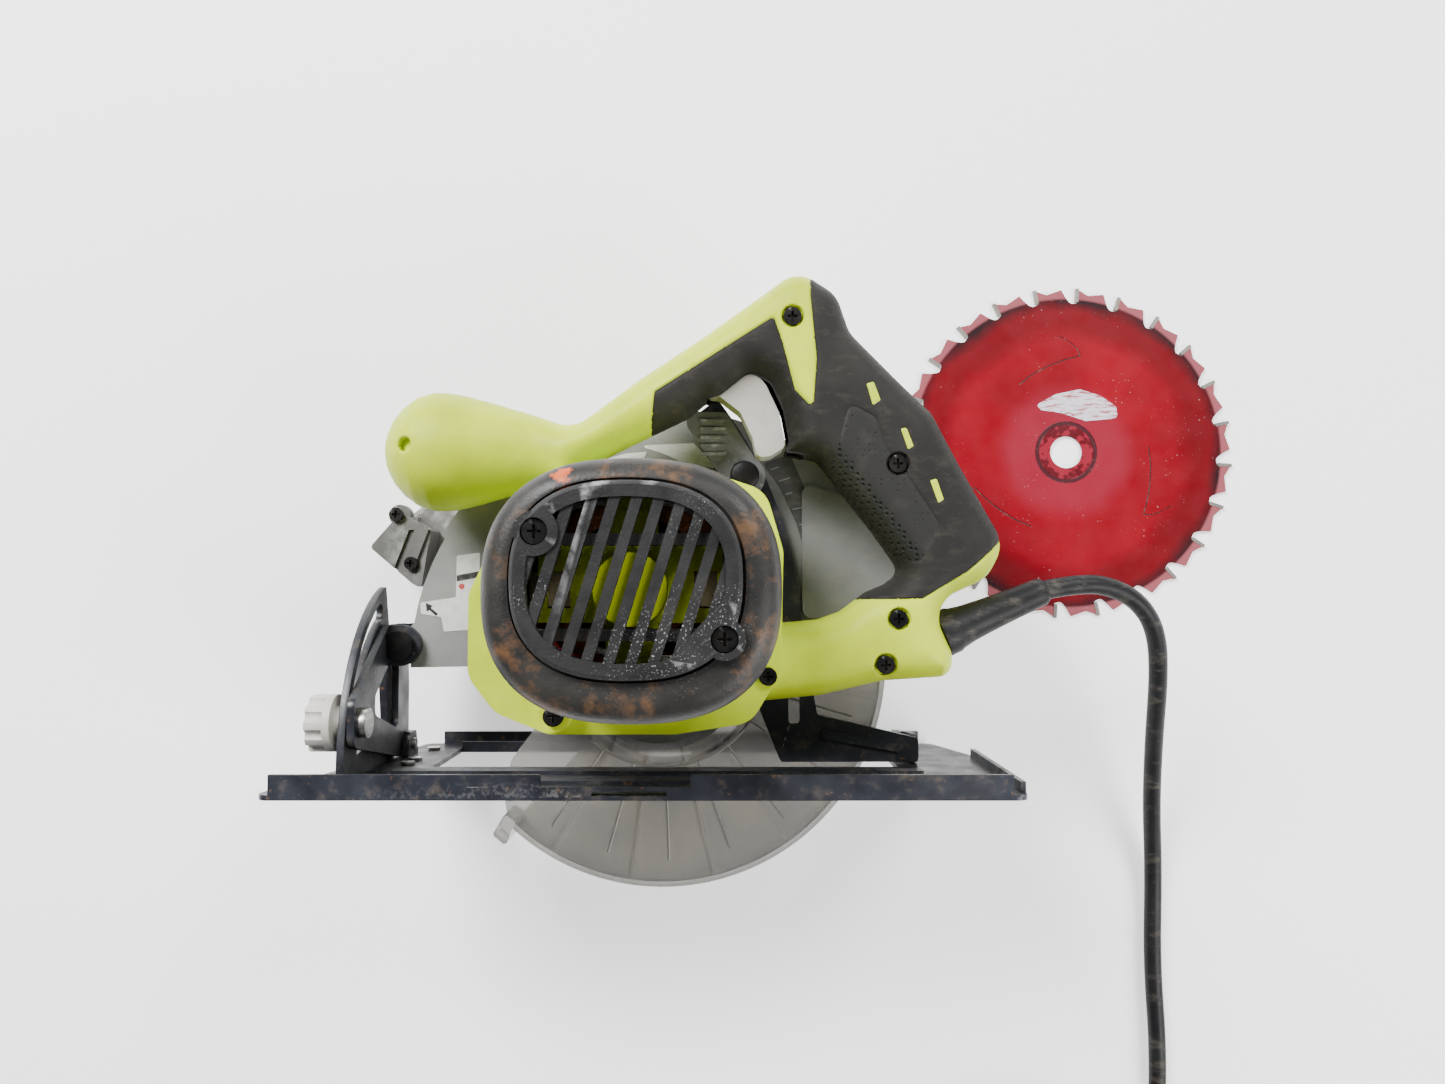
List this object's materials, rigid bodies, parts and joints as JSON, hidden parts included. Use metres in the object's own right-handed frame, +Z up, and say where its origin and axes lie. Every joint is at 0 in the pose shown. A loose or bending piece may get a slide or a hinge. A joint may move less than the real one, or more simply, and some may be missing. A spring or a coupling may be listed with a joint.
{
  "type": "circular saw",
  "caption": "Corded circular saw lying on its side, its blade taken off beside it, with sprung lower guard, bevel base and depth pivot.",
  "frame": {"origin": "bottom centre of the saw and its loose blade as they lie, without the cord", "axes": "+X from the saw's nose to its tail, +Y from its sole to its handle, +Z up along the motor and the spindle"},
  "size_m": [0.4268, 0.5086, 0.19],
  "materials": {
    "lime_shell": "moulded nylon, lightly scuffed",
    "soft_grip": "textured soft overmould",
    "lime_mark": "moulded mark",
    "cap_plastic": "dusty dark nylon",
    "trigger_plastic": "off-white, grubby",
    "black_steel": "black coated, scratched",
    "guard_casting": "grey die-cast",
    "gear_casting": "die-cast, satin",
    "smoked_guard": "smoked clear plastic",
    "laser_plastic": "mid-grey moulding",
    "lens_glass": "red lens",
    "bright_steel": "machined",
    "dark_steel": "oiled",
    "black_screw": "black oxide",
    "core_steel": "laminated",
    "copper_wire": "enamelled copper",
    "commutator_copper": "turned copper",
    "fan_plastic": "beige moulding",
    "brush_carbon": "carbon",
    "brush_brass": "stamped",
    "grey_plastic": "grey moulding",
    "red_blade": "red lacquer, worn",
    "carbide": "ground carbide",
    "cord_rubber": "black jacket",
    "plug_brass": "plated"
  },
  "bodies": {
    "saw_body": {"handle_shell_left": "lime_shell", "handle_shell_right": "lime_shell", "handle_grip": "soft_grip", "grip_marks": "lime_mark", "handle_screws": "black_screw", "trigger_pin": "bright_steel", "trigger_switch": "cap_plastic", "motor_housing": "lime_shell", "housing_screws": "black_screw", "motor_end_cap": "cap_plastic", "end_cap_screws": "black_screw", "armature_bearings": "bright_steel", "stator_core": "core_steel", "stator_coils": "copper_wire", "brush_holders": "brush_brass", "carbon_brushes": "brush_carbon", "gear_case": "gear_casting", "spindle_bearings": "bright_steel", "upper_guard": "guard_casting", "dust_chute": "cap_plastic", "laser_housing": "laser_plastic", "laser_lens": "lens_glass", "laser_screws": "black_screw", "guard_retainer": "bright_steel", "guard_spring": "bright_steel", "depth_bolt": "black_screw", "strain_relief": "cord_rubber", "power_cord": "cord_rubber", "cord_coil": "cord_rubber", "cord_tail": "cord_rubber", "cord_tie": "soft_grip", "plug_body": "cord_rubber", "plug_pins": "plug_brass"},
    "armature": {"armature_shaft": "bright_steel", "armature_core": "core_steel", "armature_windings": "copper_wire", "commutator": "commutator_copper", "cooling_fan": "fan_plastic", "pinion": "dark_steel"},
    "spindle_group": {"spindle": "dark_steel", "output_gear": "dark_steel", "inner_flange": "dark_steel", "outer_flange": "dark_steel", "blade_bolt": "bright_steel"},
    "swing_guard": {"lower_guard": "smoked_guard"},
    "trigger_lever": {"trigger": "trigger_plastic"},
    "spindle_lock_button": {"spindle_lock": "black_steel"},
    "depth_lock_lever": {"depth_lever": "grey_plastic"},
    "tilt_frame": {"depth_bracket": "black_steel", "front_yoke": "black_steel", "pivot_pin": "bright_steel", "bevel_bolt": "bright_steel", "hinge_pins": "bright_steel"},
    "bevel_lock_knob": {"bevel_knob": "grey_plastic"},
    "base": {"base_plate": "black_steel", "bevel_quadrant": "black_steel", "base_rivets": "bright_steel"},
    "loose_blade": {"saw_blade": "red_blade", "blade_teeth": "carbide"}
  },
  "joints": [
    {"name": "armature_spin", "type": "hinge", "parent": "saw_body", "child": "armature", "pos_m": [-0.07065, -0.00857, 0.12], "axis": [0, 0, 1], "continuous": true},
    {"name": "spindle_spin", "type": "hinge", "parent": "saw_body", "child": "spindle_group", "pos_m": [-0.06665, -0.04145, 0.06], "axis": [0, 0, 1], "continuous": true},
    {"name": "guard_swing", "type": "hinge", "parent": "saw_body", "child": "swing_guard", "pos_m": [-0.06665, -0.04145, 0.05], "axis": [0, 0, 1], "range_deg": [0, 110], "stiffness_Nm_per_rad": 0.12, "springref_deg": -68.75},
    {"name": "trigger_squeeze", "type": "hinge", "parent": "saw_body", "child": "trigger_lever", "pos_m": [-0.04165, 0.07505, 0.093], "axis": [0, 0, 1], "range_deg": [0, 8], "stiffness_Nm_per_rad": 1.2, "springref_deg": -11.46},
    {"name": "spindle_lock_press", "type": "slide", "parent": "saw_body", "child": "spindle_lock_button", "axis": [1, 0, 0], "range_m": [0, 0.003], "stiffness_N_per_m": 600, "springref_m": -0.002},
    {"name": "depth_lock_turn", "type": "hinge", "parent": "saw_body", "child": "depth_lock_lever", "pos_m": [-0.03035, 0.03995, 0.07], "axis": [0, 0, 1], "range_deg": [0, 60]},
    {"name": "depth_pivot", "type": "hinge", "parent": "saw_body", "child": "tilt_frame", "pos_m": [-0.18125, -0.03345, 0.05], "axis": [0, 0, 1], "range_deg": [-8, 5]},
    {"name": "bevel_tilt", "type": "hinge", "parent": "tilt_frame", "child": "base", "pos_m": [-0.06665, -0.07945, 0.038], "axis": [1, 0, 0], "range_deg": [0, 50]},
    {"name": "bevel_lock_turn", "type": "hinge", "parent": "tilt_frame", "child": "bevel_lock_knob", "pos_m": [-0.19865, -0.06245, 0.10281], "axis": [1, 0, 0], "range_deg": [0, 270]},
    {"name": "blade_slide", "type": "slide", "parent": "saw_body", "child": "loose_blade", "axis": [0.8, 0.6, 0], "range_m": [0, 0.15]}
  ],
  "couplings": [
    {"joint": "spindle_spin", "follows": "armature_spin", "ratio": -0.20455}
  ]
}
